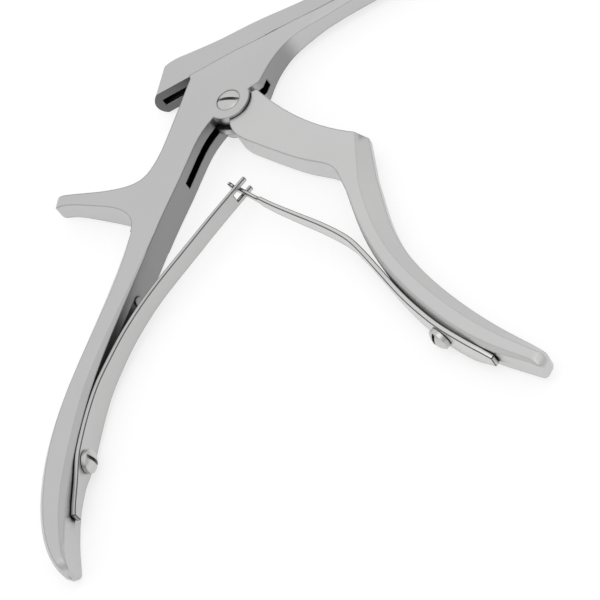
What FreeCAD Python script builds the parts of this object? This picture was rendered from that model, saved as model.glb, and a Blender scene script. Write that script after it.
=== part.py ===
import FreeCAD
import Part
import math
import os

# Sliding-shaft bone rongeur, lying on its side.
# +X runs along the shaft to the tip, the handles hang towards -Y, +Z is across the thickness.
# The origin is on the pivot axis, at the lower flat side of the body. Lengths are in millimetres.

V = FreeCAD.Vector

SIZES = {
    # body, lower shaft and foot plate
    "body_thickness": 7.3,
    "seam_height": 13.0,
    "body_rear": 6.4,
    "ear_radius": 5.1,
    "shaft_width": 5.0,
    "shaft_drop": 2.1,
    "shaft_reach": 193.3,
    "foot_plate": 1.7,
    "taper_start": 5.4,
    "taper_end": 30.0,
    "shaft_lean": 0.6,
    "spur_tip_radius": 1.5,
    "spur_tip_thickness": 4.6,
    # slide
    "slide_width": 6.5,
    "slide_overhang": 10.25,
    "slide_bar_height": 5.3,
    "slide_rise_start": 29.0,
    "slide_edge_round": 1.3,
    "slide_taper_start": 12.0,
    "slide_end_bulge": 1.65,
    "slide_end_lean": 30.0,
    "seam_gap": 0.06,
    "jaw_closed_gap": 0.2,
    "cup_width": 3.0,
    "cup_height": 2.6,
    "cup_floor": 0.7,
    "cup_depth": 9.0,
    # slide rails: a T-lug in a T-slot at each end
    "lug_neck": 1.7,
    "lug_neck_height": 0.6,
    "lug_head": 3.0,
    "lug_head_height": 0.6,
    "lug_length": 6.0,
    "lug_rear": 21.0,
    "lug_front": 150.0,
    "rail_gap": 0.08,
    "rail_end_gap": 0.6,
    # drive: the finger of the front handle in the slide
    "finger_reach": 14.6,
    "finger_head": 1.5,
    "finger_gap": 0.2,
    "finger_run_height": 2.6,
    "finger_run_wall": 2.0,
    "finger_lean": 11.9,
    "close_angle": 34.0,
    # front handle
    "arm_thickness": 5.9,
    "lap_gap": 0.15,
    "tongue_thickness": 1.8,
    "tongue_gap": 0.1,
    "tongue_disc": 6.2,
    "front_grip_width": 7.0,
    "front_facet": 3.6,
    "front_facet_rise": 2.1,
    # rear handle
    "rear_grip_width": 8.6,
    "rear_facet": 2.0,
    "rear_facet_rise": 2.4,
    "grip_edge": 1.1,
    "front_end_round": 3.0,
    "rear_end_round": 3.0,
    # pivot screw
    "pivot_shank": 4.2,
    "pivot_gap": 0.05,
    "pivot_head": 5.4,
    "pivot_head_sink": 1.0,
    "pivot_dome": 0.5,
    "driver_slot": 0.8,
    "driver_depth": 0.75,
    # leaf springs and their screws
    "leaf_thickness": 1.1,
    "leaf_tip_thickness": 0.8,
    "leaf_seat_gap": 0.12,
    "leaf_root_width": 6.6,
    "leaf_lift_width": 5.2,
    "rear_tip_width": 4.4,
    "front_tip_width": 3.0,
    "leaf_tail_width": 2.8,
    "leaf_hinge_gap": 0.06,
    "fork_slot": 2.2,
    "fork_depth": 5.4,
    "hook_width": 1.6,
    "hook_head_width": 3.0,
    "hook_reach": 2.8,
    "hook_head": 0.7,
    "screw_shank": 2.4,
    "screw_gap": 0.03,
    "screw_head": 5.0,
    "screw_head_height": 2.0,
    "screw_depth": 4.2,
    "screw_slot": 0.8,
    "screw_slot_depth": 0.9,
    # small pin in the rear handle's inner face
    "stop_pin": 1.8,
    "stop_pin_depth": 3.0,
    "stop_pin_stand": 0.3,
    "stop_pin_side": 0.2,
}

# Outlines in the side view, each along one edge of the real piece.
# The throat's points are (x, share of the way up from its foot to the underside of the shaft).
THROAT_FOOT = (7.8, 0.8)
THROAT = [(10.2, 0.28), (13.9, 0.60), (17.2, 0.78), (21.0, 0.885), (26.0, 0.95), (31.0, 0.985)]
THROAT_END = 38.0
BODY_BACK = [(-7.9, 9.8), (-10.7, 5.8), (-14.6, 0.5), (-17.8, -3.8), (-20.7, -6.8), (-24.1, -8.8)]
SPUR_TIP = (-44.4, -0.9)
SPUR_TOP = [(-28.0, -8.6), (-32.0, -7.0), (-37.4, -3.6), (-43.5, 0.3)]
SPUR_UNDER = [(-41.9, -3.9), (-38.6, -6.6), (-34.9, -9.9), (-31.4, -13.4), (-29.5, -17.2)]
SPUR_PLAN = [(-27.0, 1.0), (-33.0, 0.9), (-39.0, 0.35), (-44.0, 0.0)]
REAR_INNER_TOP = [(-6.6, -3.9), (-8.7, -5.6), (-11.3, -8.4), (-15.4, -13.5), (-20.2, -19.1)]
REAR_INNER = [(-25.5, -25.6), (-38.5, -42.0), (-47.9, -54.8), (-54.6, -67.0), (-59.1, -77.0),
              (-61.9, -86.0), (-63.5, -94.8)]
REAR_OUTER = [(-30.3, -21.4), (-41.8, -36.4), (-54.1, -51.7), (-61.6, -64.0), (-65.9, -75.4),
              (-67.3, -86.0), (-65.2, -95.0)]
ARM_TOP = [(9.4, -7.5), (14.5, -16.8), (20.0, -23.7), (25.0, -28.3)]
ARM_UNDER = [(15.6, -32.2), (11.6, -27.5), (6.5, -21.3), (1.4, -14.2), (-1.3, -9.4)]
ARM_LAP_END = -106.0
FRONT_INNER_TOP = (16.2, -34.2)
FRONT_INNER = [(16.5, -40.0), (16.2, -50.0), (17.3, -63.0), (20.6, -75.5), (25.9, -87.8), (32.6, -97.6),
               (38.5, -104.6)]
FRONT_OUTER = [(23.2, -39.4), (22.4, -49.5), (22.9, -61.0), (26.1, -73.0), (30.9, -84.6), (36.1, -94.3),
               (40.8, -102.6)]
REAR_FREE = [(-37.4, -44.0), (-30.3, -38.3), (-19.3, -31.4), (-9.0, -25.2), (-2.9, -21.8)]
REAR_LIFT = (-42.0, -49.1)
FRONT_LIFT = (14.6, -56.3)
FRONT_FREE = [(12.7, -51.0), (9.2, -44.9), (4.6, -38.2), (0.8, -32.6), (-2.5, -27.2)]
CROSSING = (-4.7, -23.3)
HOOK_END = (-7.1, -20.1)
REAR_SCREW_SHARE = 0.67
FRONT_SCREW_SHARE = 0.64
STOP_PIN_SHARE = 0.18
DRIVER_TURN = -30.5


def slide_travel(s):
    """How far the drive finger pushes the slide over the handle's whole swing."""
    rest = math.radians(s.finger_lean)
    closed = math.radians(s.close_angle - s.finger_lean)
    return s.finger_reach * (math.sin(rest) + math.sin(closed))


def make_sheet(doc):
    sheet = doc.addObject("Spreadsheet::Sheet", "sizes")
    for row, (alias, value) in enumerate(SIZES.items(), start=1):
        sheet.set("A%d" % row, alias)
        sheet.set("B%d" % row, repr(value))
        sheet.setAlias("B%d" % row, alias)
    doc.recompute()
    return sheet


class Sizes:
    """Reads a size from the sheet by its alias."""

    def __init__(self, sheet):
        self.sheet = sheet

    def __getattr__(self, alias):
        return float(self.sheet.get(alias))


def point(p):
    return V(p[0], p[1], 0)


def polar(radius, degrees):
    return V(radius * math.cos(math.radians(degrees)), radius * math.sin(math.radians(degrees)), 0)


def curve_through(points, first=None, last=None):
    """Smooth curve through points, with its end directions if they are given."""
    curve = Part.BSplineCurve()
    places = [p if isinstance(p, V) else point(p) for p in points]
    if first is None:
        curve.interpolate(places)
    else:
        curve.interpolate(Points=places, InitialTangent=first, FinalTangent=last)
    return curve


def at_share(curve, share):
    """Point of a curve at a share of its length."""
    if share <= 0:
        return curve.value(curve.FirstParameter)
    if share >= 1:
        return curve.value(curve.LastParameter)
    return curve.value(curve.parameterAtDistance(curve.length() * share, curve.FirstParameter))


def direction_at(curve, share):
    ahead = at_share(curve, min(share + 0.002, 1.0))
    behind = at_share(curve, max(share - 0.002, 0.0))
    return (ahead - behind).normalize()


def between(values, share):
    """Value at a share of the way through an evenly spaced list."""
    place = min(max(share, 0.0), 1.0) * (len(values) - 1)
    index = min(int(place), len(values) - 2)
    return values[index] + (values[index + 1] - values[index]) * (place - index)


def new_body(doc, label):
    """A body whose own XY plane is the middle of the instrument's thickness."""
    body = doc.addObject("PartDesign::Body", label)
    body.Label = label
    body.setExpression("Placement.Base.z", "sizes.body_thickness / 2")
    return body


def new_sketch(body, name, placement=FreeCAD.Placement()):
    sketch = body.newObject("Sketcher::SketchObject", name)
    plane = [item for item in body.Origin.OriginFeatures if item.Role == "XY_Plane"][0]
    sketch.AttachmentSupport = [(plane, "")]
    sketch.MapMode = "FlatFace"
    sketch.AttachmentOffset = placement
    return sketch


def upright(origin, along):
    """Sketch plane across the side view: its x follows `along`, its y is the thickness."""
    x_axis = V(along.x, along.y, 0).normalize()
    y_axis = V(0, 0, 1)
    return FreeCAD.Placement(V(origin.x, origin.y, origin.z),
                             FreeCAD.Rotation(x_axis, y_axis, x_axis.cross(y_axis), "XYZ"))


def draw(sketch, start, steps):
    """Closed outline from lines, three-point arcs and smooth curves."""
    here = start if isinstance(start, V) else point(start)
    first = here
    for kind, places in steps:
        places = [p if isinstance(p, V) else point(p) for p in places]
        if kind == "line":
            for place in places:
                sketch.addGeometry(Part.LineSegment(here, place), False)
                here = place
        elif kind == "arc":
            sketch.addGeometry(Part.Arc(here, places[0], places[1]), False)
            here = places[1]
        elif kind == "run-in":
            # smooth curve that starts level, along -X
            sketch.addGeometry(curve_through([here] + places, V(-1, 0, 0),
                                             (places[-1] - places[-2]).normalize()), False)
            here = places[-1]
        else:
            sketch.addGeometry(curve_through([here] + places), False)
            here = places[-1]
    if here.distanceToPoint(first) > 1e-6:
        sketch.addGeometry(Part.LineSegment(here, first), False)


def draw_box(sketch, x1, x2, y1, y2):
    draw(sketch, (x1, y1), [("line", [(x2, y1), (x2, y2), (x1, y2)])])


def draw_circle(sketch, centre, expression, value):
    """Circle whose diameter follows the sheet."""
    import Sketcher
    index = sketch.addGeometry(Part.Circle(centre, V(0, 0, 1), value / 2), False)
    row = sketch.addConstraint(Sketcher.Constraint("Diameter", index, value))
    sketch.setExpression("Constraints[%d]" % row, expression)


def pad(body, name, sketch, expression, symmetric=False, reverse=False):
    feature = body.newObject("PartDesign::Pad", name)
    feature.Profile = sketch
    feature.setExpression("Length", expression)
    if symmetric:
        feature.SideType = "Symmetric"
    feature.Reversed = reverse
    return feature


def pocket(body, name, sketch, expression=None, symmetric=False, reverse=False):
    feature = body.newObject("PartDesign::Pocket", name)
    feature.Profile = sketch
    if expression is None:
        feature.Type = "ThroughAll"
    else:
        feature.setExpression("Length", expression)
    if symmetric:
        feature.SideType = "Symmetric"
    feature.Reversed = reverse
    return feature


def loft(body, name, sketches, ruled=False):
    feature = body.newObject("PartDesign::AdditiveLoft", name)
    feature.Profile = sketches[0]
    feature.Sections = sketches[1:]
    feature.Ruled = ruled
    return feature


def round_edges(body, name, base, expression, wanted):
    """Fillet on every edge of `base` for which `wanted(edge)` is true."""
    FreeCAD.ActiveDocument.recompute()
    names = ["Edge%d" % number for number, edge in enumerate(base.Shape.Edges, start=1) if wanted(edge)]
    feature = body.newObject("PartDesign::Fillet", name)
    feature.Base = (base, names)
    feature.setExpression("Radius", expression)
    return feature


def grip_section(body, name, inner, outer, width, facet, rise, edge):
    """Handle section: flat inner face, bevelled inner edges, flat sides, two facets to the back."""
    sketch = new_sketch(body, name, upright(inner, outer - inner))
    depth = (outer - inner).Length
    half = width / 2
    upper = [(0, half - edge), (edge, half), (depth - facet, half), (depth, half - rise)]
    lower = [(x, -y) for x, y in reversed(upper)]
    draw(sketch, upper[0], [("line", upper[1:] + lower)])
    return sketch


def leaf_section(body, name, centre, along, width, thickness):
    """Flat strip section, square to the leaf's own direction."""
    across = V(-along.y, along.x, 0)
    sketch = new_sketch(body, name, upright(centre, across))
    draw_box(sketch, -thickness / 2, thickness / 2, -width / 2, width / 2)
    return sketch


def slim_slide(body, s, wide, far_end):
    """Cuts both sides of the slide down to the shaft's width, in plan."""
    sketch = new_sketch(body, "slide_sides_plan", upright(V(0, s.seam_height, 0), V(1, 0, 0)))
    span = s.taper_end - s.slide_taper_start
    slim = s.shaft_width / 2
    step = wide / 2 - slim
    for side in (1, -1):
        line = [(s.slide_taper_start, side * wide / 2), (s.slide_taper_start + span * 0.3, side * (slim + step * 0.82)),
                (s.slide_taper_start + span * 0.7, side * (slim + step * 0.25)), (s.taper_end, side * slim)]
        end = far_end + 5
        draw(sketch, line[0], [("curve", line[1:]), ("line", [(end, line[-1][1]), (end, side * wide),
                                                              (line[0][0], side * wide)])])
    return pocket(body, "slide_sides", sketch, symmetric=True)


def slim_shaft(body, s):
    """Cuts both sides of the body down to the lower shaft, whose sides lean in towards its underside."""
    seam = s.seam_height
    under = seam - s.shaft_drop
    low = -3.0
    top = seam + 2 * s.slide_bar_height
    wide = s.body_thickness
    half = s.body_thickness / 2
    slide = s.slide_width / 2
    slim = s.shaft_width / 2
    drop = s.shaft_drop
    span = s.taper_end - s.taper_start
    stations = [(s.taper_start, half, 0.0), (s.taper_start + span * 0.2, slide + 0.06, 0.05),
                (s.taper_start + span * 0.37, slide - 0.06, 0.105), (s.taper_start + span * 0.6, slide - 0.2, 0.19),
                (s.taper_start + span * 0.83, slim + 0.15, s.shaft_lean / drop),
                (s.taper_end, slim, s.shaft_lean / drop),
                (s.shaft_reach + 5, slim, s.shaft_lean / drop)]
    feature = None
    for side, name in ((1, "near"), (-1, "far")):
        sections = []
        for number, (x, at_seam, lean) in enumerate(stations):
            sketch = new_sketch(body, "shaft_%s_%d" % (name, number), upright(V(x, 0, 0), V(0, 1, 0)))
            foot = at_seam - lean * (seam - low)
            draw(sketch, (low, side * foot), [("line", [(seam, side * at_seam), (top, side * at_seam),
                                                        (top, side * wide), (low, side * wide)])])
            sections.append(sketch)
        feature = body.newObject("PartDesign::SubtractiveLoft", "shaft_side_" + name)
        feature.Profile = sections[0]
        feature.Sections = sections[1:]
        feature.Ruled = True
    return feature


def round_end(body, s, name, inner, outer, width, radius, turn):
    """Rounds the free end of a grip, seen square to its inner face."""
    along = direction_at(inner, 1)
    end = at_share(inner, 1)
    inward = V(-along.y, along.x, 0) * turn
    sketch = new_sketch(body, name, facing(end - inward * 2, inward))
    axis = sketch.AttachmentOffset.Rotation.multVec(V(0, 1, 0)).dot(along)
    sign = 1 if axis > 0 else -1
    half = width / 2 + 0.5
    reach = half * 0.16
    flat = half - radius
    slope = radius * (1 - math.sqrt(0.5))
    for side in (1, -1):
        draw(sketch, (side * half, -sign * (radius - reach)), [
            ("arc", [(side * (half - slope), -sign * (slope - reach)), (side * flat, sign * reach)]),
            ("line", [(side * flat, sign * 6), (side * (half + 3), sign * 6),
                      (side * (half + 3), -sign * (radius - reach))])])
    return pocket(body, name + "_cut", sketch, "sizes.rear_grip_width + 6", reverse=True)


def spring_lines(s):
    """Middle lines of both leaves, from the tail to the tip, and where each one's screw sits."""
    lift = s.leaf_seat_gap + s.leaf_thickness / 2
    lines = {}
    for side, inner, shares, free in (
            ("rear", curve_through(REAR_INNER), (0.835, 0.74, 0.65, 0.56, 0.47, 0.40), [REAR_LIFT] + REAR_FREE),
            ("front", curve_through(FRONT_INNER), (0.835, 0.74, 0.64, 0.54, 0.45, 0.35),
             [FRONT_LIFT] + FRONT_FREE + [CROSSING, HOOK_END])):
        turn = 1 if side == "rear" else -1
        seat = []
        for share in shares:
            along = direction_at(inner, share)
            seat.append(at_share(inner, share) + V(-along.y, along.x, 0) * (turn * lift))
        lines[side] = (seat, [point(p) for p in free])
    return lines


def fixed_handle_shaft(doc, s):
    """One forging: slotted body, lower shaft with foot plate, thumb spur and rear handle."""
    body = new_body(doc, "fixed_handle_shaft")
    seam = s.seam_height
    under = seam - s.shaft_drop
    foot = s.shaft_reach - s.foot_plate
    top = seam + s.seam_gap + s.slide_bar_height
    inner = curve_through(REAR_INNER)
    outer = curve_through(REAR_OUTER)

    side = new_sketch(body, "body_side")
    tip = point(SPUR_TIP)
    rise = under - THROAT_FOOT[1]
    throat = [(x, THROAT_FOOT[1] + share * rise) for x, share in reversed(THROAT)]
    draw(side, (-s.body_rear, seam), [
        ("line", [(foot, seam), (foot, top), (s.shaft_reach, top), (s.shaft_reach, under + 1.2),
                  (s.shaft_reach - 1.6, under), (THROAT_END, under)]),
        ("run-in", throat + [THROAT_FOOT]),
        ("line", [polar(s.ear_radius, 2)]),
        ("arc", [polar(s.ear_radius, -70), polar(s.ear_radius, -150)]),
        ("curve", REAR_INNER_TOP + [REAR_INNER[0]]),
        ("line", [REAR_OUTER[0]]),
        ("curve", list(reversed(SPUR_UNDER)) + [tip + polar(s.spur_tip_radius, -125)]),
        ("arc", [tip + polar(s.spur_tip_radius, 145), SPUR_TOP[-1]]),
        ("curve", list(reversed(SPUR_TOP[:-1])) + list(reversed(BODY_BACK))),
        ("line", [(-s.body_rear, seam - 1.2)]),
    ])
    plate = pad(body, "body_plate", side, "sizes.body_thickness", symmetric=True)
    slim = slim_shaft(body, s)

    # the spur thins towards its tip
    plan = new_sketch(body, "spur_plan", upright(V(0, 0, 0), V(1, 0, 0)))
    spare = s.body_thickness / 2 - s.spur_tip_thickness / 2
    for sign in (1, -1):
        line = [(x, sign * (s.spur_tip_thickness / 2 + spare * share)) for x, share in SPUR_PLAN]
        far = line[-1][0] - 4
        draw(plan, line[0], [("curve", line[1:]), ("line", [(far, line[-1][1]), (far, sign * s.body_thickness),
                                                            (line[0][0], sign * s.body_thickness)])])
    pocket(body, "spur_thinning", plan, symmetric=True)

    sections = []
    swell = [0.0, 0.25, 0.6, 0.9, 1.0, 0.95, 0.45]
    for number in range(9):
        share = number / 8
        width = s.body_thickness + (s.rear_grip_width - s.body_thickness) * between(swell, share)
        facet = min(s.rear_facet * between([0.15, 0.8, 1, 1, 1, 0.9, 0.3], share), 2.4)
        rise = s.rear_facet_rise * between([0.15, 0.6, 0.9, 1, 1, 1, 1], share)
        edge = s.grip_edge * between([0.12, 0.3, 0.7, 1, 1, 1, 0.25], share)
        sections.append(grip_section(body, "rear_grip_%d" % number, at_share(inner, share),
                                     at_share(outer, share), width, facet, rise, edge))
    loft(body, "rear_grip", sections)
    round_end(body, s, "rear_end", inner, outer, s.rear_grip_width, s.rear_end_round, -1)

    # slot for the front handle's tongue, open at the seam, at the throat and along the inner face
    slot = new_sketch(body, "tongue_slot_side")
    draw(slot, (-5.0, seam + 2), [
        ("line", [(-5.0, seam - 1), (-6.6, 3.0)]),
        ("curve", [(-8.4, -1.6), (-12.0, -6.6), (-16.2, -13.2)]),
        ("line", [(-14.0, -18.0), (6.0, -9.0), (9.2, -5.0), (9.2, 4.2), (7.5, 7.0), (7.5, seam + 2)]),
    ])
    pocket(body, "tongue_slot", slot, "sizes.tongue_thickness + 2 * sizes.tongue_gap", symmetric=True)

    bore = new_sketch(body, "pivot_hole_circle", FreeCAD.Placement(V(0, 0, -s.body_thickness), FreeCAD.Rotation()))
    draw_circle(bore, V(0, 0, 0), "sizes.pivot_shank + 2 * sizes.screw_gap", s.pivot_shank + 2 * s.screw_gap)
    pocket(body, "pivot_hole", bore, symmetric=True)
    sink = new_sketch(body, "pivot_sink_circle",
                      FreeCAD.Placement(V(0, 0, s.body_thickness / 2), FreeCAD.Rotation()))
    draw_circle(sink, V(0, 0, 0), "sizes.pivot_head + 2 * sizes.screw_gap", s.pivot_head + 2 * s.screw_gap)
    pocket(body, "pivot_sink", sink, "sizes.pivot_head_sink")

    # T-slots in the top of the lower shaft, each with a wide end where the lug drops in
    travel = slide_travel(s)
    for name, start in (("rear", s.lug_rear), ("front", s.lug_front)):
        first = start - s.rail_end_gap
        last = start + s.lug_length + travel + s.rail_end_gap
        wide = first - s.lug_length - s.rail_end_gap
        neck_half = s.lug_neck / 2 + s.rail_gap
        head_half = s.lug_head / 2 + s.rail_gap
        neck = new_sketch(body, name + "_rail_neck", upright(V(0, seam, 0), V(1, 0, 0)))
        draw_box(neck, wide, last, -neck_half, neck_half)
        pocket(body, name + "_rail_slot", neck, "sizes.lug_neck_height + sizes.rail_gap", reverse=True)
        head = new_sketch(body, name + "_rail_head", upright(V(0, seam - s.lug_neck_height + s.rail_gap, 0),
                                                             V(1, 0, 0)))
        draw_box(head, wide, last, -head_half, head_half)
        pocket(body, name + "_rail_undercut", head, "sizes.lug_head_height + 3 * sizes.rail_gap", reverse=True)
        entry = new_sketch(body, name + "_rail_entry", upright(V(0, seam, 0), V(1, 0, 0)))
        draw_box(entry, wide, first, -head_half, head_half)
        pocket(body, name + "_rail_entry_pocket", entry, "sizes.lug_neck_height + sizes.rail_gap", reverse=True)

    screw_hole(body, s, "rear", inner, REAR_SCREW_SHARE, -1)

    share = STOP_PIN_SHARE
    along = direction_at(inner, share)
    inward = V(along.y, -along.x, 0)
    hole = new_sketch(body, "stop_pin_circle",
                      facing(at_share(inner, share) - inward + V(0, 0, -s.stop_pin_side), inward))
    draw_circle(hole, V(0, 0, 0), "sizes.stop_pin + 2 * sizes.screw_gap", s.stop_pin + 2 * s.screw_gap)
    pocket(body, "stop_pin_hole", hole, "sizes.stop_pin_depth + 1", reverse=True)
    return body


def facing(origin, normal):
    """Sketch plane whose own z axis is `normal`, a direction in the side view."""
    z_axis = V(normal.x, normal.y, 0).normalize()
    x_axis = V(0, 0, 1)
    return FreeCAD.Placement(origin, FreeCAD.Rotation(x_axis, z_axis.cross(x_axis), z_axis, "XYZ"))


def screw_seat(inner, share, turn):
    """Where a spring screw enters the grip's inner face, and the direction from the face into the grip."""
    along = direction_at(inner, share)
    return at_share(inner, share), V(-along.y, along.x, 0) * turn


def screw_hole(body, s, name, inner, share, turn):
    seat, inward = screw_seat(inner, share, turn)
    hole = new_sketch(body, name + "_screw_circle", facing(seat - inward * 2, inward))
    draw_circle(hole, V(0, 0, 0), "sizes.screw_shank + 2 * sizes.screw_gap", s.screw_shank + 2 * s.screw_gap)
    return pocket(body, name + "_screw_hole", hole, "sizes.screw_depth + 2.3", reverse=True)


def slide_bar(doc, s):
    """The upper bar: overhanging rear, rounded back, cup at the front, two T-lugs below."""
    body = new_body(doc, "slide_bar")
    base = s.seam_height + s.seam_gap
    top = base + s.slide_bar_height
    front = s.shaft_reach - s.foot_plate - s.jaw_closed_gap - slide_travel(s)
    rear = -s.body_rear - s.slide_overhang
    side = new_sketch(body, "slide_side")
    draw(side, (rear, base), [
        ("line", [(front, base), (front, top), (s.slide_rise_start, top)]),
        ("curve", [(16.0, top + 0.42), (10.4, top + 0.95), (3.5, top + 1.35), (-2.0, top + 2.0), (-6.8, top + 2.75)]),
        ("curve", [(rear + 7.4, top + 2.85), (rear + 5.4, top + 2.35), (rear + 3.85, top + 1.2),
                   (rear + 2.72, base + 4.7)]),
        ("line", [(rear, base)]),
    ])
    pad(body, "slide_plate", side, "sizes.slide_width", symmetric=True)
    slim_slide(body, s, s.slide_width, front)

    # the rear end bulges across its thickness, along the lean of the rear face
    half = s.slide_width / 2
    bulge = new_sketch(body, "slide_end_plan", upright(V(0, base, 0), V(1, 0, 0)))
    draw(bulge, (rear + s.slide_end_bulge, half), [
        ("arc", [(rear, 0), (rear + s.slide_end_bulge, -half)]),
        ("line", [(rear + s.slide_end_bulge, -half - 2), (rear - 4, -half - 2), (rear - 4, half + 2),
                  (rear + s.slide_end_bulge, half + 2)]),
    ])
    slim = pocket(body, "slide_end", bulge, symmetric=True)
    slim.UseCustomVector = True
    slim.Direction = (math.sin(math.radians(s.slide_end_lean)), math.cos(math.radians(s.slide_end_lean)), 0)
    slim.AlongSketchNormal = False

    def upper_edge(edge):
        box = edge.BoundBox
        return box.YMin > base + 2.5 and box.XLength > 1.0 and box.ZMax * box.ZMin > 0
    round_edges(body, "slide_back_round", slim, "sizes.slide_edge_round", upper_edge)

    for name, start in (("rear", s.lug_rear), ("front", s.lug_front)):
        neck = new_sketch(body, name + "_lug_neck", upright(V(0, base, 0), V(1, 0, 0)))
        draw_box(neck, start, start + s.lug_length, -s.lug_neck / 2, s.lug_neck / 2)
        pad(body, name + "_lug_stem", neck, "sizes.lug_neck_height + sizes.seam_gap", reverse=False)
        head = new_sketch(body, name + "_lug_plan", upright(V(0, s.seam_height - s.lug_neck_height, 0), V(1, 0, 0)))
        draw_box(head, start, start + s.lug_length, -s.lug_head / 2, s.lug_head / 2)
        pad(body, name + "_lug_foot", head, "sizes.lug_head_height", reverse=False)

    # pocket for the finger's round head, with a shallow run to the rear edge for fitting it
    width = "sizes.tongue_thickness + 2 * sizes.tongue_gap"
    head_at = polar(s.finger_reach, 90 + s.finger_lean)
    room = s.finger_head + s.finger_gap
    deep = new_sketch(body, "finger_pocket_side")
    draw_box(deep, head_at.x - room, head_at.x + room, base - 1, s.finger_reach + room + 0.1)
    pocket(body, "finger_pocket", deep, width, symmetric=True)
    shallow = new_sketch(body, "finger_run_side")
    draw_box(shallow, rear + s.finger_run_wall, head_at.x, base - 1, base + s.finger_run_height)
    pocket(body, "finger_run", shallow, width, symmetric=True)

    cup = new_sketch(body, "cup_front", facing(V(front, base + s.cup_floor + s.cup_height / 2, 0), V(1, 0, 0)))
    half_width = s.cup_width / 2
    half_height = s.cup_height / 2
    draw(cup, (-half_width, half_height), [
        ("line", [(-half_width, 0)]),
        ("arc", [(0, -half_height), (half_width, 0)]),
        ("line", [(half_width, half_height)]),
    ])
    pocket(body, "cup", cup, "sizes.cup_depth")
    return body


def moving_handle(doc, s):
    """Front handle: thick arm that laps round the ear, thin tongue with the drive finger, faceted grip."""
    body = new_body(doc, "moving_handle")
    lap = s.ear_radius + s.lap_gap
    inner = curve_through(FRONT_INNER)
    outer = curve_through(FRONT_OUTER)
    corner = point(ARM_TOP[-1])

    side = new_sketch(body, "arm_side")
    draw(side, polar(lap, -5), [
        ("arc", [polar(lap, -55), polar(lap, ARM_LAP_END)]),
        ("curve", list(reversed(ARM_UNDER)) + [FRONT_INNER_TOP]),
        ("line", [corner]),
        ("curve", list(reversed(ARM_TOP[:-1])) + [(6.7, -0.6)]),
    ])
    pad(body, "arm", side, "sizes.arm_thickness", symmetric=True)

    # facets start on the arm's top edge at the elbow
    start = point(FRONT_INNER_TOP)
    depth = (corner - start).Length
    half = s.arm_thickness / 2
    facets = new_sketch(body, "elbow_facets", upright(start, corner - start))
    for sign in (1, -1):
        draw(facets, (depth - s.front_facet, sign * half), [
            ("line", [(depth + 3, sign * half), (depth + 3, sign * (half - s.front_facet_rise
                                                                  - 3 * s.front_facet_rise / s.front_facet))])])
    run = pocket(body, "elbow_facet_run", facets, "sizes.front_facet * 3")
    run.UseCustomVector = True
    run.Direction = (0.257, 0.966, 0)
    run.AlongSketchNormal = False

    sections = [grip_section(body, "elbow_top", start, corner, s.arm_thickness, s.front_facet,
                             s.front_facet_rise, s.grip_edge * 0.12),
                grip_section(body, "elbow_end", at_share(inner, 0), at_share(outer, 0), s.arm_thickness,
                             s.front_facet, s.front_facet_rise, s.grip_edge * 0.15)]
    loft(body, "elbow", sections, ruled=True)

    sections = []
    swell = [0.0, 0.35, 0.75, 1.0, 1.0, 0.8, 0.1]
    for number in range(8):
        share = number / 7
        width = s.arm_thickness + (s.front_grip_width - s.arm_thickness) * between(swell, share)
        facet = s.front_facet * between([1, 0.95, 0.75, 0.66, 0.62, 0.5, 0.2], share)
        rise = s.front_facet_rise * between([1, 0.95, 0.85, 0.75, 0.7, 0.6, 0.5], share)
        edge = s.grip_edge * between([0.15, 0.4, 0.75, 1, 1, 0.8, 0.3], share)
        sections.append(grip_section(body, "front_grip_%d" % number, at_share(inner, share),
                                     at_share(outer, share), width, facet, rise, edge))
    loft(body, "front_grip", sections)
    round_end(body, s, "front_end", inner, outer, s.front_grip_width, s.front_end_round, 1)

    # tongue: disc round the pivot, root inside the arm, finger up to the slide
    tongue = new_sketch(body, "tongue_side")
    lean = 90 + s.finger_lean
    head_at = polar(s.finger_reach, lean)
    across = polar(1, lean - 90)
    neck = s.finger_head * 0.72
    draw(tongue, polar(s.tongue_disc, lean - 40), [
        ("line", [head_at + across * neck - polar(s.finger_head, lean),
                  head_at + across * s.finger_head]),
        ("arc", [head_at + polar(s.finger_head, lean), head_at - across * s.finger_head]),
        ("line", [head_at - across * neck - polar(s.finger_head, lean),
                  polar(s.tongue_disc, lean + 40)]),
        ("arc", [polar(s.tongue_disc, lean + 90), polar(s.tongue_disc, ARM_LAP_END - 6)]),
        ("line", [(0.2, -9.0), (4.0, -13.0), (9.0, -9.6), polar(s.tongue_disc, -12)]),
        ("arc", [polar(s.tongue_disc, 20), polar(s.tongue_disc, lean - 40)]),
    ])
    pad(body, "tongue", tongue, "sizes.tongue_thickness", symmetric=True)

    bore = new_sketch(body, "bore_circle", FreeCAD.Placement(V(0, 0, -s.body_thickness), FreeCAD.Rotation()))
    draw_circle(bore, V(0, 0, 0), "sizes.pivot_shank + 2 * sizes.pivot_gap", s.pivot_shank + 2 * s.pivot_gap)
    pocket(body, "pivot_bore", bore, symmetric=True)
    screw_hole(body, s, "front", inner, FRONT_SCREW_SHARE, 1)
    return body


def cap_height(radius, height, place):
    """Height of a round cap over its rim, at a distance from its axis."""
    ball = (radius ** 2 + height ** 2) / (2 * height)
    return math.sqrt(ball ** 2 - place ** 2) - (ball - height)


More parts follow.
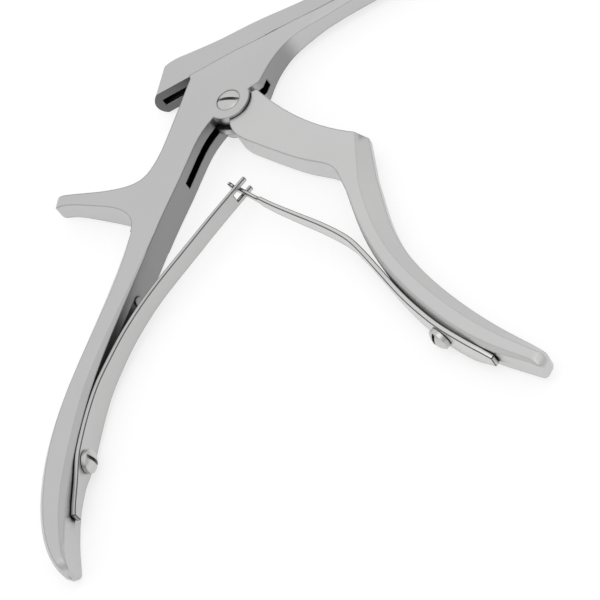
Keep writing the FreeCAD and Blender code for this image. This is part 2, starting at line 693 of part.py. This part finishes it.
def pivot_screw(doc, s):
    """Slotted screw with a shallow domed head, sunk in the near cheek."""
    body = new_body(doc, "pivot_screw")
    half = s.body_thickness / 2
    seat = half - s.pivot_head_sink + s.screw_gap
    low = -half
    rim = half - 0.1
    profile = new_sketch(body, "screw_profile", upright(V(0, 0, 0), V(1, 0, 0)))
    head = s.pivot_head / 2
    shank = s.pivot_shank / 2
    dome = half + s.pivot_dome
    draw(profile, (0, low), [
        ("line", [(shank, low), (shank, seat), (head, seat), (head, rim)]),
        ("arc", [(head / 2, rim + cap_height(head, dome - rim, head / 2)), (0, dome)]),
    ])
    turned = body.newObject("PartDesign::Revolution", "screw_turned")
    turned.Profile = profile
    turned.ReferenceAxis = (profile, ["V_Axis"])
    turned.Angle = 360
    slot = new_sketch(body, "driver_slot_plan",
                      FreeCAD.Placement(V(0, 0, dome), FreeCAD.Rotation(V(0, 0, 1), DRIVER_TURN)))
    draw_box(slot, -head - 1, head + 1, -s.driver_slot / 2, s.driver_slot / 2)
    pocket(body, "driver_slot", slot, "sizes.driver_depth")
    return body


def spring_screw(doc, s, label, inner, share, turn):
    """Round-headed slotted screw through the leaf's root into the grip."""
    body = new_body(doc, label)
    seat, inward = screw_seat(inner, share, turn)
    lift = 2 * s.leaf_seat_gap + s.leaf_thickness
    profile = new_sketch(body, "screw_profile", upright(seat, inward))
    head = s.screw_head / 2
    shank = s.screw_shank / 2
    top = -lift - s.screw_head_height
    rim = -lift - s.screw_head_height / 2
    draw(profile, (s.screw_depth, 0), [
        ("line", [(s.screw_depth, shank), (-lift, shank), (-lift, head), (rim, head)]),
        ("arc", [(rim - cap_height(head, rim - top, head / 2), head / 2), (top, 0)]),
    ])
    turned = body.newObject("PartDesign::Revolution", "screw_turned")
    turned.Profile = profile
    turned.ReferenceAxis = (profile, ["H_Axis"])
    turned.Angle = 360
    slot = new_sketch(body, "driver_slot_end", facing(seat + inward * top, inward))
    draw_box(slot, -head - 1, head + 1, -s.screw_slot / 2, s.screw_slot / 2)
    pocket(body, "driver_slot", slot, "sizes.screw_slot_depth", reverse=True)
    return body


def leaf_root(doc, s, label, seat, lift_point, inner, share, turn):
    """The stretch of a leaf that its screw clamps on the grip, with its slim tail."""
    body = new_body(doc, label)
    line = curve_through(seat + [lift_point])
    sections = []
    count = 7
    widths = [s.leaf_tail_width, s.leaf_root_width * 0.8, s.leaf_root_width, s.leaf_root_width,
              s.leaf_root_width * 0.93, (s.leaf_root_width + s.leaf_lift_width) / 2, s.leaf_lift_width]
    for number in range(count):
        part = number / (count - 1)
        sections.append(leaf_section(body, "root_%d" % number, at_share(line, part), direction_at(line, part),
                                     between(widths, part), s.leaf_thickness))
    loft(body, "leaf", sections)
    cup = new_sketch(body, "hinge_cup_circle")
    draw_circle(cup, lift_point, "sizes.leaf_thickness + 2 * sizes.leaf_hinge_gap",
                s.leaf_thickness + 2 * s.leaf_hinge_gap)
    pocket(body, "hinge_cup", cup, "2 * sizes.leaf_root_width", symmetric=True)
    place, inward = screw_seat(inner, share, turn)
    hole = new_sketch(body, "screw_circle", facing(place - inward * 3, inward))
    draw_circle(hole, V(0, 0, 0), "sizes.screw_shank + 4 * sizes.leaf_hinge_gap",
                s.screw_shank + 4 * s.leaf_hinge_gap)
    pocket(body, "screw_hole", hole, "6", reverse=True)
    return body


def leaf_blade(doc, s, label, lift_point, free, widths):
    """The free stretch of a leaf, from its lift-off to its tip."""
    body = new_body(doc, label)
    line = curve_through([lift_point] + free)
    sections = []
    count = len(widths)
    for number in range(count):
        part = number / (count - 1)
        thickness = s.leaf_thickness + (s.leaf_tip_thickness - s.leaf_thickness) * part
        sections.append(leaf_section(body, "blade_%d" % number, at_share(line, part), direction_at(line, part),
                                     widths[number], thickness))
    loft(body, "leaf", sections)
    knuckle = new_sketch(body, "knuckle_circle")
    draw_circle(knuckle, lift_point, "sizes.leaf_thickness - sizes.leaf_hinge_gap",
                s.leaf_thickness - s.leaf_hinge_gap)
    pad(body, "knuckle", knuckle, "sizes.leaf_lift_width", symmetric=True)
    return body, line


def rear_springs(doc, s, lines):
    inner = curve_through(REAR_INNER)
    seat, free = lines["rear"]
    root = leaf_root(doc, s, "rear_spring_root", seat, free[0], inner, REAR_SCREW_SHARE, -1)
    middle = s.rear_tip_width
    widths = [s.leaf_lift_width, (s.leaf_lift_width + 2 * middle) / 3] + [middle] * 6
    blade, line = leaf_blade(doc, s, "rear_spring_blade", free[0], free[1:], widths)
    tip = at_share(line, 1)
    along = direction_at(line, 1)
    slot = new_sketch(blade, "fork_plan", facing(tip + V(-along.y, along.x, 0) * 4, V(-along.y, along.x, 0)))
    fork = new_sketch_box_along(slot, along, s.fork_depth, s.fork_slot)
    pocket(blade, "fork", fork, "8")
    return root, blade


def new_sketch_box_along(sketch, along, length, width):
    """Slot with a round end that runs back from the tip along the leaf."""
    # in this plane x is the thickness direction of the instrument, y runs along the leaf
    back = sketch.AttachmentOffset.Rotation.multVec(V(0, 1, 0)).dot(along)
    sign = -1 if back > 0 else 1
    half = width / 2
    reach = sign * (length - half)
    draw(sketch, (-half, -sign * 3), [
        ("line", [(-half, reach)]),
        ("arc", [(0, reach + sign * half), (half, reach)]),
        ("line", [(half, -sign * 3)]),
    ])
    return sketch


def front_springs(doc, s, lines):
    inner = curve_through(FRONT_INNER)
    seat, free = lines["front"]
    root = leaf_root(doc, s, "front_spring_root", seat, free[0], inner, FRONT_SCREW_SHARE, 1)
    body = new_body(doc, "front_spring_blade")
    line = curve_through(free)
    # share of the line where the hook's narrow neck starts and where its head starts
    crossing = point(CROSSING)
    steps = 400
    near = min(range(steps + 1), key=lambda n: at_share(line, n / steps).distanceToPoint(crossing))
    at_cross = near / steps * line.length()
    neck_start = (at_cross - s.hook_reach - 0.4) / line.length()
    sections = []
    widths = [s.leaf_lift_width, s.leaf_lift_width * 0.9, s.leaf_lift_width * 0.8,
              (s.leaf_lift_width + s.front_tip_width) / 2, s.front_tip_width * 1.1, s.front_tip_width]
    count = 7
    for number in range(count):
        part = number / (count - 1)
        share = neck_start * part
        thickness = s.leaf_thickness + (s.leaf_tip_thickness - s.leaf_thickness) * part
        sections.append(leaf_section(body, "blade_%d" % number, at_share(line, share),
                                     direction_at(line, share), between(widths, part), thickness))
    loft(body, "leaf", sections)
    sections = []
    head_start = (at_cross + s.hook_reach) / line.length()
    for number in range(5):
        share = neck_start + (head_start - neck_start) * number / 4
        sections.append(leaf_section(body, "neck_%d" % number, at_share(line, share),
                                     direction_at(line, share), s.hook_width, s.leaf_tip_thickness))
    loft(body, "hook_neck", sections)
    along = direction_at(line, head_start)
    head = leaf_section(body, "hook_head_end", at_share(line, head_start), along, s.hook_head_width,
                        s.leaf_tip_thickness)
    pad(body, "hook_head", head, "sizes.hook_head", reverse=not head_forward(head, along))
    knuckle = new_sketch(body, "knuckle_circle")
    draw_circle(knuckle, free[0], "sizes.leaf_thickness - sizes.leaf_hinge_gap",
                s.leaf_thickness - s.leaf_hinge_gap)
    pad(body, "knuckle", knuckle, "sizes.leaf_lift_width", symmetric=True)
    return root, body


def head_forward(sketch, along):
    return sketch.AttachmentOffset.Rotation.multVec(V(0, 0, 1)).dot(along) > 0


def stop_pin(doc, s):
    """Small round pin in the rear handle's inner face."""
    body = new_body(doc, "spring_stop_pin")
    inner = curve_through(REAR_INNER)
    along = direction_at(inner, STOP_PIN_SHARE)
    inward = V(along.y, -along.x, 0)
    seat = at_share(inner, STOP_PIN_SHARE) + V(0, 0, -s.stop_pin_side)
    end = new_sketch(body, "pin_end", facing(seat - inward * s.stop_pin_stand, inward))
    draw_circle(end, V(0, 0, 0), "sizes.stop_pin", s.stop_pin)
    pad(body, "pin", end, "sizes.stop_pin_depth + sizes.stop_pin_stand - sizes.screw_gap")
    return body


def main():
    doc = FreeCAD.newDocument("bone_rongeur")
    s = Sizes(make_sheet(doc))
    lines = spring_lines(s)
    bodies = [fixed_handle_shaft(doc, s), slide_bar(doc, s), moving_handle(doc, s), pivot_screw(doc, s)]
    bodies += rear_springs(doc, s, lines)
    bodies += front_springs(doc, s, lines)
    bodies.append(spring_screw(doc, s, "rear_spring_screw", curve_through(REAR_INNER), REAR_SCREW_SHARE, -1))
    bodies.append(spring_screw(doc, s, "front_spring_screw", curve_through(FRONT_INNER), FRONT_SCREW_SHARE, 1))
    bodies.append(stop_pin(doc, s))
    doc.recompute()
    for item in doc.Objects:
        if "Invalid" in item.State or "Error" in item.State:
            raise RuntimeError("%s failed: %s" % (item.Label, item.State))
    os.makedirs("parts", exist_ok=True)
    for body in bodies:
        shape = body.Shape
        if shape.isNull() or not shape.isValid() or len(shape.Solids) != 1:
            raise RuntimeError("%s has no single valid solid (%d)" % (body.Label, len(shape.Solids)))
        shape.exportStep("parts/%s.step" % body.Label)
        box = shape.BoundBox
        print("%-20s %9.1f mm3  x %.1f..%.1f y %.1f..%.1f z %.2f..%.2f" % (
            body.Label, shape.Volume, box.XMin, box.XMax, box.YMin, box.YMax, box.ZMin, box.ZMax))


main()
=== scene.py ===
import math

import bmesh
import bpy
from mathutils import Matrix, Vector


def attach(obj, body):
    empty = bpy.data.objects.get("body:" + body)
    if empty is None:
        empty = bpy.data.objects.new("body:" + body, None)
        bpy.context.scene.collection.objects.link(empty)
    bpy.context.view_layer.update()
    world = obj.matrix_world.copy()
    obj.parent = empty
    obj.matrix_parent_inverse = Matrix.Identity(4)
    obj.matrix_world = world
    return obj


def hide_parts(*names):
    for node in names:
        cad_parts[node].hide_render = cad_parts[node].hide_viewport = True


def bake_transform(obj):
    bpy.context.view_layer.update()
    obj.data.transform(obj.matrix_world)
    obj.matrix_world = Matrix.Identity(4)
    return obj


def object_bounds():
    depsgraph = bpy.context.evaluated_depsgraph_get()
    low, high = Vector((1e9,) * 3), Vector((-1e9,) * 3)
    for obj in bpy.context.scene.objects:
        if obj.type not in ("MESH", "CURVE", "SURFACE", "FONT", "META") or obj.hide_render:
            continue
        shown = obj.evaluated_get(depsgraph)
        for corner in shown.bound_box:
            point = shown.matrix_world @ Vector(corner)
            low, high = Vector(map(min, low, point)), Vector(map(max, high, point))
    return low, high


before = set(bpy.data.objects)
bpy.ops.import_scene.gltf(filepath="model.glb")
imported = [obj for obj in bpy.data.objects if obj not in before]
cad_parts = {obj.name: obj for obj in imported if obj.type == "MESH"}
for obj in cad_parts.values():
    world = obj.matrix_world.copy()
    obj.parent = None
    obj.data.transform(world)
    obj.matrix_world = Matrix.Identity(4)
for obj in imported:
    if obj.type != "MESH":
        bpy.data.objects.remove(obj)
cad_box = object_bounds()

# Camera: a long lens looks down at the instrument as it lies on its side, and cuts off the far end
# of the shaft, with the handles low in the picture.
camera_data = bpy.data.cameras.new("camera")
camera_data.sensor_width = 36.0
camera_data.lens = 142.27
camera_data.clip_start = 0.01
camera = bpy.data.objects.new("camera", camera_data)
bpy.context.collection.objects.link(camera)
camera_place = Vector((0.07264, -0.37694, 0.36154))
camera_right = Vector((0.87193, -0.26241, -0.41337))
camera_up = Vector((0.46531, 0.70688, 0.53273))
camera_back = camera_right.cross(camera_up)
turned_to_view = Matrix((camera_right, camera_up, camera_back)).transposed().to_4x4()
camera.matrix_world = Matrix.Translation(camera_place) @ turned_to_view
bpy.context.scene.camera = camera
bpy.context.scene.view_settings.view_transform = "Standard"


# Body, lower shaft, spur and rear handle: one stainless steel forging. It is milled flat on its
# sides, then bead blasted to a fine satin, and its edges are broken by hand.
class Wire:
    """A socket that adds Math nodes when it is used in an expression."""

    def __init__(self, surface, socket):
        self.surface = surface
        self.socket = socket

    def join(self, operation, *values):
        return self.surface.node("ShaderNodeMath", {"operation": operation}, dict(enumerate(values)))

    def __add__(self, other):
        return self.join("ADD", self, other)

    __radd__ = __add__

    def __sub__(self, other):
        return self.join("SUBTRACT", self, other)

    def __rsub__(self, other):
        return self.join("SUBTRACT", other, self)

    def __mul__(self, other):
        return self.join("MULTIPLY", self, other)


class Surface:
    """The node tree of one finish."""

    def __init__(self, owner):
        owner.use_nodes = True
        self.tree = owner.node_tree

    def node(self, kind, settings, sockets, output=0):
        """One node: its settings first, then the values or wires of its sockets."""
        made = self.tree.nodes.new(kind)
        for name, value in settings.items():
            setattr(made, name, value)
        for name, value in sockets.items():
            if isinstance(value, Wire):
                self.tree.links.new(value.socket, made.inputs[name])
            else:
                made.inputs[name].default_value = value
        return Wire(self, made.outputs[output])

    def noise(self, place, scale, detail, **sockets):
        return self.node("ShaderNodeTexNoise", {},
                         {"Vector": place, "Scale": scale, "Detail": detail, **sockets})

    def eased_step(self, wire, low, high, least, most):
        """Turns low to high into least to most, eased at both ends."""
        return self.node("ShaderNodeMapRange", {"interpolation_type": "SMOOTHSTEP"},
                         {"Value": wire, "From Min": low, "From Max": high,
                          "To Min": least, "To Max": most})

    def room_within(self, reach):
        """How open the surface is to things within this reach: 1 in the open, 0 in a gap."""
        return self.node("ShaderNodeAmbientOcclusion", {"samples": 8}, {"Distance": reach}, output=1)

    def along(self, wire, direction):
        return self.node("ShaderNodeVectorMath", {"operation": "DOT_PRODUCT"},
                         {0: wire, 1: direction}, output=1)

    def feed(self, shader, name, wire):
        self.tree.links.new(wire.socket, shader.inputs[name])


mid_plane = 0.00365


def steel_finish(name, dark, light, roughness, grain_size, edge, streak=(1, 1, 1), painted_side_shade=None,
                 slot=None, shade_reach=0.0032, shade_top=0.62, edge_shade_level=1.0):
    """Satin steel: fine grain in the bump, soft clouds in tone and gloss, edges softened over the
    width edge, with painted shade along them as dark as the given edge level. Painted shade darkens
    the colour in gaps narrower than the given reach."""
    material = bpy.data.materials.new(name)
    finish = Surface(material)
    shader = finish.tree.nodes["Principled BSDF"]
    place = finish.node("ShaderNodeTexCoord", {}, {}, output=3)
    grain = finish.noise(place, scale=1 / grain_size, detail=5.0, Roughness=0.6)
    cloud = finish.noise(place, scale=55.0, detail=3.0)
    drawn_place = finish.node("ShaderNodeMapping", {}, {"Vector": place, "Scale": streak})
    stroke = finish.noise(drawn_place, scale=900.0, detail=3.0)
    rough = roughness + (grain - 0.5) * 0.10 + (cloud - 0.5) * 0.10 + (stroke - 0.5) * 0.06
    tone = 0.5 + (cloud - 0.5) * 0.9 + (grain - 0.5) * 0.5 + (stroke - 0.5) * 0.4
    colour = finish.node("ShaderNodeMix", {"data_type": "RGBA"},
                         {"Factor": tone, 6: (*dark, 1), 7: (*light, 1)}, output=2)
    # painted shade: the colour darkens where little room lies within the reach, in gaps, creases and
    # corners
    painted_shade = finish.eased_step(finish.room_within(shade_reach), 0.12, shade_top, 0.04, 1.0)
    if slot:
        # painted shade: deep in the slot and on the tongue's rim, this near to the middle, the
        # colour is darkened further where little room lies within slot_reach
        depth = finish.node("ShaderNodeSeparateXYZ", {}, {0: place}, output=2)
        inside = finish.node("ShaderNodeMath", {"operation": "COMPARE"},
                             {0: depth, 1: mid_plane, 2: slot})
        slot_reach = 0.0032
        deep = finish.eased_step(finish.room_within(slot_reach), 0.62, 1.0, 0.03, 1.0)
        painted_shade = painted_shade * (1 - inside) + painted_shade * deep * inside
    facing = finish.node("ShaderNodeNewGeometry", {}, {}, output=1)
    if painted_side_shade:
        # painted shade: the faces that look this way and lie higher than this y are darker by this
        # share
        direction, lowest, share = painted_side_shade
        fade = 0.012
        height = finish.node("ShaderNodeSeparateXYZ", {}, {0: place}, output=1)
        side = finish.eased_step(finish.along(facing, direction), 0.8, 0.95, 0.0, share)
        upper = finish.eased_step(height, lowest, lowest + fade, 0.0, 1.0)
        painted_shade = painted_shade * (1 - side * upper)
    # painted shade: a broken edge turns its gloss away, so the colour is made a little darker in a
    # soft band along every facet
    soft_edge = finish.node("ShaderNodeBevel", {"samples": 8}, {"Radius": edge})
    line = finish.node("ShaderNodeMapRange", {},
                       {"Value": finish.along(facing, soft_edge), "From Min": 0.965,
                        "From Max": 0.998, "To Min": edge_shade_level, "To Max": 1.0})
    colour = finish.node("ShaderNodeMix", {"data_type": "RGBA", "blend_type": "MULTIPLY"},
                         {"Factor": 1.0, 6: colour, 7: painted_shade * line}, output=2)
    bump = finish.node("ShaderNodeBump", {},
                       {"Height": grain * 0.7 + stroke * 0.3, "Strength": 0.22,
                        "Distance": 0.00002, "Normal": soft_edge})
    finish.feed(shader, "Base Color", colour)
    finish.feed(shader, "Roughness", rough)
    finish.feed(shader, "Normal", bump)
    shader.inputs["Metallic"].default_value = 1.0
    return material


def round_off(shape, tip, heading, length, short, least):
    """Rounds off one end of the shape. The tip is the middle of the end and the heading the way it
    points. The rounding starts length back through the thickness, where least of it is left at the
    tip, and short back across."""
    tip, heading = Vector((*tip, mid_plane)), Vector(heading).normalized()
    across = Vector((-heading.y, heading.x, 0))
    roundness = 2.2
    tip_width = 0.2
    end_size = 0.016
    for cut in range(9):
        back = length * (1 - math.sin(math.radians(10 * cut)))
        bmesh.ops.bisect_plane(shape, geom=shape.verts[:] + shape.edges[:] + shape.faces[:],
                               plane_co=tip - heading * back, plane_no=heading)
    for corner in shape.verts:
        ahead = 1 + (corner.co - tip).dot(heading) / length
        if ahead > 0 and (corner.co - tip).length < end_size:
            thin = (1 - min(ahead, 1) ** roundness) ** (1 / roundness)
            corner.co.z = tip.z + (corner.co.z - tip.z) * max(thin, least)
            ahead = min(max(1 + (corner.co - tip).dot(heading) / short, 0), 1)
            narrow = max((1 - ahead ** roundness) ** (1 / roundness), tip_width)
            corner.co -= across * (corner.co - tip).dot(across) * (1 - narrow)


def eased_copy(node_name, name, material, ends):
    """The node's shape as one skin with smooth faces, with each of its ends rounded off."""
    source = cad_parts[node_name]
    shape = bmesh.new()
    shape.from_mesh(source.data)
    shape.transform(source.matrix_world)
    bmesh.ops.remove_doubles(shape, verts=shape.verts, dist=0.000002)
    bmesh.ops.dissolve_limit(shape, angle_limit=math.radians(0.6),
                             verts=shape.verts, edges=shape.edges)
    for end in ends:
        round_off(shape, *end)
    mesh = bpy.data.meshes.new(name)
    shape.to_mesh(mesh)
    shape.free()
    eased = bpy.data.objects.new(name, mesh)
    bpy.context.collection.objects.link(eased)
    even = eased.modifiers.new("even", "WEIGHTED_NORMAL")
    even.weight = 100
    even.keep_sharp = True
    mesh.materials.clear()
    mesh.materials.append(material)
    for polygon in mesh.polygons:
        polygon.use_smooth = True
    mesh.set_sharp_from_angle(angle=math.radians(24))
    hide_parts(node_name)
    return eased


# painted shade on the forging's faces that look along (0.785, -0.62), above y = -66 mm
forged = steel_finish("blasted_forging", dark=(0.505, 0.507, 0.508), light=(0.56, 0.56, 0.556),
                      roughness=0.36, grain_size=0.00011, edge=0.0005,
                      painted_side_shade=((0.785, -0.62, 0), -0.066, 0.44), slot=0.00104,
                      shade_reach=0.0003, edge_shade_level=0.8)
grip_end = ((-0.06435, -0.0949), (-0.117, -0.993, 0), 0.0030, 0.0008, 0.15)
spur_end = ((-0.04575, -0.00025), (-0.9, 0.43, 0), 0.0030, 0.0004, 0.3)
body = eased_copy("fixed_handle_shaft", "body_forging", forged,
                  [grip_end, spur_end])
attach(body, "frame")


# Slide: a bar milled from the same steel, with a rounded back and an overhanging rear end. It runs
# on the lower shaft and has the same blasted finish, drawn out a little along its length.
def dress(node_name, material):
    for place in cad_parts[node_name].material_slots:
        place.material = material


# painted shade on the slide's faces that look toward -y, above y = -10 mm
slide_steel = steel_finish("blasted_slide", dark=(0.49, 0.492, 0.495), light=(0.545, 0.545, 0.542),
                           roughness=0.35, grain_size=0.00011, edge=0.0003, streak=(0.12, 1, 1),
                           painted_side_shade=((0, -1, 0), -0.01, 0.7))
dress("slide_bar", slide_steel)

# Front handle: a second forging, a touch brighter on its sides, whose arm laps round the body's ear
# and whose thin tongue runs in the body's slot.
handle_steel = steel_finish("blasted_handle", dark=(0.555, 0.555, 0.555),
                            light=(0.612, 0.611, 0.607), roughness=0.36, grain_size=0.00011,
                            edge=0.0005, slot=0.00092, shade_reach=0.0003, edge_shade_level=0.8)
handle_end = ((0.03965, -0.1036), (0.656, -0.755, 0), 0.0030, 0.0016, 0.15)
handle = eased_copy("moving_handle", "handle_forging", handle_steel, [handle_end])
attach(handle, "handle")

# Pivot screw: turned from bar, with a shallow domed head and one driver slot, sunk in the cheek.
# Its turned faces are brighter and glossier than the blasted ones.
screw_steel = steel_finish("turned_screw", dark=(0.52, 0.52, 0.515), light=(0.6, 0.6, 0.592),
                           roughness=0.28, grain_size=0.00008, edge=0.0001,
                           shade_reach=0.0012, shade_top=0.8)
dress("pivot_screw", screw_steel)


# Rear leaf spring: one strip of rolled spring steel, ground along its length, whose rounded edges
# are painted near black as painted shade. Its slim tail and wide root are clamped on the rear grip,
# and its free end is forked.
def eased_row(points, steps=5):
    """The rows between given rows, on one smooth line through all of them."""
    rows = []
    for index in range(len(points) - 1):
        before = points[max(index - 1, 0)]
        here, there = points[index], points[index + 1]
        after = points[min(index + 2, len(points) - 1)]
        for step in range(steps):
            t = step / steps
            rows.append([0.5 * (2 * b + (c - a) * t + (2 * a - 5 * b + 4 * c - d) * t * t
                                + (3 * b - 3 * c + d - a) * t ** 3)
                         for a, b, c, d in zip(before, here, there, after)])
    rows.append(list(points[-1]))
    return rows


def leaf_places(rows):
    """A frame for each row of x, y, width and thickness in millimetres, square to the leaf."""
    places = []
    for index, (x, y, width, thickness) in enumerate(rows):
        behind, ahead = rows[max(index - 1, 0)], rows[min(index + 1, len(rows) - 1)]
        along = Vector((ahead[0] - behind[0], ahead[1] - behind[1], 0)).normalized()
        across = Vector((-along.y, along.x, 0))
        places.append(Matrix(((0, across.x * thickness, along.x, x),
                              (0, across.y * thickness, along.y, y),
                              (width, 0, 0, 1000 * mid_plane),
                              (0, 0, 0, 1))))
    return places


def draw_on(shape, faces, path, closed_start):
    """Draws the faces on along the path and gives the faces at its far end."""
    for step, (before, after) in enumerate(zip(path, path[1:])):
        grown = bmesh.ops.extrude_face_region(shape, geom=faces)["geom"]
        if step or not closed_start:
            bmesh.ops.delete(shape, geom=faces, context="FACES")
        faces = [item for item in grown if isinstance(item, bmesh.types.BMFace)]
        corners = [item for item in grown if isinstance(item, bmesh.types.BMVert)]
        bmesh.ops.transform(shape, verts=corners, matrix=after @ before.inverted())
    return faces


def drawn_leaf(name, finish, rows, prong_rows=()):
    """Draws a flat section along the rows. Two prongs go on without the middle column."""
    shape = bmesh.new()
    bmesh.ops.create_grid(shape, x_segments=3 if prong_rows else 1, y_segments=1, size=0.5)
    inner = [corner for corner in shape.verts if abs(corner.co.x) < 0.3]
    bmesh.ops.scale(shape, verts=inner, vec=(1.5, 1, 1))
    places = leaf_places(rows)
    bmesh.ops.transform(shape, verts=shape.verts, matrix=places[0])
    end = draw_on(shape, list(shape.faces), places, closed_start=True)
    if prong_rows:
        prong_path = [places[-1]] + leaf_places([rows[-1], *prong_rows])[1:]
        for face in sorted(end, key=lambda face: face.calc_center_median().z)[::2]:
            draw_on(shape, [face], prong_path, closed_start=False)
    bmesh.ops.scale(shape, verts=shape.verts, vec=(0.001, 0.001, 0.001))
    bmesh.ops.recalc_face_normals(shape, faces=shape.faces)
    corners = [edge for edge in shape.edges if edge.calc_face_angle(0) > math.radians(40)]
    eased = bmesh.ops.bevel(shape, geom=corners, offset=0.0002, offset_type="OFFSET", segments=2,
                            profile=0.5, affect="EDGES", material=-1, clamp_overlap=True)
    # the rounded edge faces take the second finish, near black: painted shade
    for face in eased["faces"]:
        face.material_index = 1
    for face in shape.faces:
        face.smooth = True
    mesh = bpy.data.meshes.new(name)
    shape.to_mesh(mesh)
    shape.free()
    mesh.set_sharp_from_angle(angle=math.radians(45))
    mesh.materials.append(finish)
    mesh.materials.append(leaf_edge_painted_shade)
    leaf = bpy.data.objects.new(name, mesh)
    bpy.context.collection.objects.link(leaf)
    return leaf


spring_steel = steel_finish("ground_spring_steel", dark=(0.50, 0.50, 0.498),
                            light=(0.565, 0.565, 0.56), roughness=0.33, grain_size=0.00009,
                            edge=0.0001)
# painted shade: a near-black copy of the steel for the leaves' rounded edges
leaf_edge_painted_shade = steel_finish("leaf_edge_painted_shade_finish", dark=(0.10, 0.10, 0.10), light=(0.16, 0.16, 0.16),
                          roughness=0.4, grain_size=0.00009, edge=0.0001)
rear_line = eased_row([(-60.13, -82.08, 2.4, 1.1), (-59.35, -79.6, 2.9, 1.1),
                       (-57.57, -74.99, 3.8, 1.1), (-56.03, -71.5, 5.5, 1.1),
                       (-54.58, -68.48, 6.5, 1.1), (-51.33, -62.07, 6.5, 1.1),
                       (-47.6, -55.7, 6.0, 1.1), (-43.6, -50.6, 5.4, 1.1),
                       (-38.0, -44.6, 4.9, 1.06), (-30.3, -38.3, 4.5, 1.0),
                       (-19.3, -31.4, 4.4, 0.94), (-12.6, -27.3, 4.4, 0.88),
                       (-6.8, -23.96, 4.4, 0.84)])
rear_leaf = drawn_leaf("rear_leaf", spring_steel, rear_line,
                       [(-4.9, -22.9, 4.4, 0.82), (-2.9, -21.8, 4.4, 0.8)])
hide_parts("rear_spring_root", "rear_spring_blade")
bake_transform(rear_leaf)

# Front leaf spring: the same strip, clamped on the front grip, with a lighter copy of its colour:
# painted light. Its free end narrows to a neck that passes through the rear leaf's fork and ends in
# a small cross head.
painted_light_spring_steel = steel_finish("spring_steel_painted_lighter", dark=(0.585, 0.585, 0.58),
                            light=(0.655, 0.655, 0.65), roughness=0.33, grain_size=0.00009,
                            edge=0.0001)
front_line = eased_row([(30.56, -96.05, 2.8, 1.1), (29.2, -94.1, 4.3, 1.1),
                        (26.72, -90.5, 6.2, 1.1), (23.33, -84.23, 6.6, 1.1),
                        (20.64, -77.65, 6.5, 1.1), (18.65, -71.59, 6.1, 1.1),
                        (16.7, -64.2, 5.6, 1.1), (14.6, -56.3, 5.0, 1.08),
                        (12.7, -51.0, 4.5, 1.04), (9.2, -44.9, 4.1, 1.0),
                        (4.6, -38.2, 3.7, 0.94), (0.8, -32.6, 3.3, 0.88),
                        (-1.6, -28.7, 3.0, 0.82)])
front_line += [[-2.05, -27.95, 1.7, 0.8], [-2.7, -26.85, 1.6, 0.8], [-3.7, -25.1, 1.6, 0.8],
               [-4.9, -23.05, 1.6, 0.8], [-6.1, -21.4, 1.6, 0.8], [-6.42, -20.96, 3.0, 0.8],
               [-6.83, -20.4, 3.0, 0.8]]
front_leaf = drawn_leaf("front_leaf", painted_light_spring_steel, front_line)
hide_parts("front_spring_root", "front_spring_blade")
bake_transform(front_leaf)

# Leaf screws: slotted round heads, turned from bar like the pivot screw, one in each grip. They
# clamp the leaves.
for fastener in ("rear_spring_screw", "front_spring_screw"):
    dress(fastener, screw_steel)

# Stop pin: a short steel pin, pressed into the rear grip's inner face. It is dull and dark from
# heat treatment.
pin_steel = steel_finish("dull_pin", dark=(0.30, 0.30, 0.30), light=(0.36, 0.36, 0.36),
                         roughness=0.4, grain_size=0.00008, edge=0.0002)
dress("spring_stop_pin", pin_steel)

# Studio: a white sheet under the instrument, soft light from a white room that is brighter above
# and behind, and one large lamp overhead.
floor_mesh = bpy.data.meshes.new("floor")
floor_shape = bmesh.new()
bmesh.ops.create_grid(floor_shape, x_segments=1, y_segments=1, size=3.0)
bmesh.ops.translate(floor_shape, verts=floor_shape.verts, vec=(0, 0, cad_box[0][2]))
floor_shape.to_mesh(floor_mesh)
floor_shape.free()
floor = bpy.data.objects.new("floor", floor_mesh)
bpy.context.collection.objects.link(floor)
floor_white = bpy.data.materials.new("white_sheet")
sheet = Surface(floor_white)
sheet.tree.nodes.remove(sheet.tree.nodes["Principled BSDF"])
rays = [sheet.node("ShaderNodeLightPath", {}, {}, output=kind)
        for kind in ("Is Camera Ray", "Is Glossy Ray", "Is Transmission Ray")]
seen = rays[0] + rays[1] + rays[2]
glow_strength = 1.12
glow_share = 0.62
glow = sheet.node("ShaderNodeEmission", {},
                  {"Color": (1, 1, 1, 1), "Strength": seen * glow_strength})
paper = sheet.node("ShaderNodeBsdfDiffuse", {}, {"Color": (0.9, 0.9, 0.9, 1)})
lit_sheet = sheet.node("ShaderNodeMixShader", {}, {0: glow_share, 1: paper, 2: glow})
sheet.feed(sheet.tree.nodes["Material Output"], "Surface", lit_sheet)
floor_mesh.materials.append(floor_white)

world = bpy.data.worlds.new("studio")
bpy.context.scene.world = world
room = Surface(world)
walls = room.tree.nodes["Background"]
walls.inputs["Color"].default_value = (1, 1, 1, 1)
bright_side = (-0.15, 0.66, 0.74)
wall_level = 0.76
wall_change = 0.22
heading = room.node("ShaderNodeTexCoord", {}, {}, output=0)
room.feed(walls, "Strength", wall_level + room.along(heading, bright_side) * wall_change)

lamp_data = bpy.data.lights.new("key", "AREA")
lamp_data.energy = 1.4
lamp_data.size = 0.8
lamp = bpy.data.objects.new("key", lamp_data)
bpy.context.collection.objects.link(lamp)
lamp.location = (0.1, -0.35, 0.9)
toward_grips = Vector((0, -0.05, 0)) - Vector(lamp.location)
lamp.rotation_euler = toward_grips.to_track_quat("-Z", "Y").to_euler()
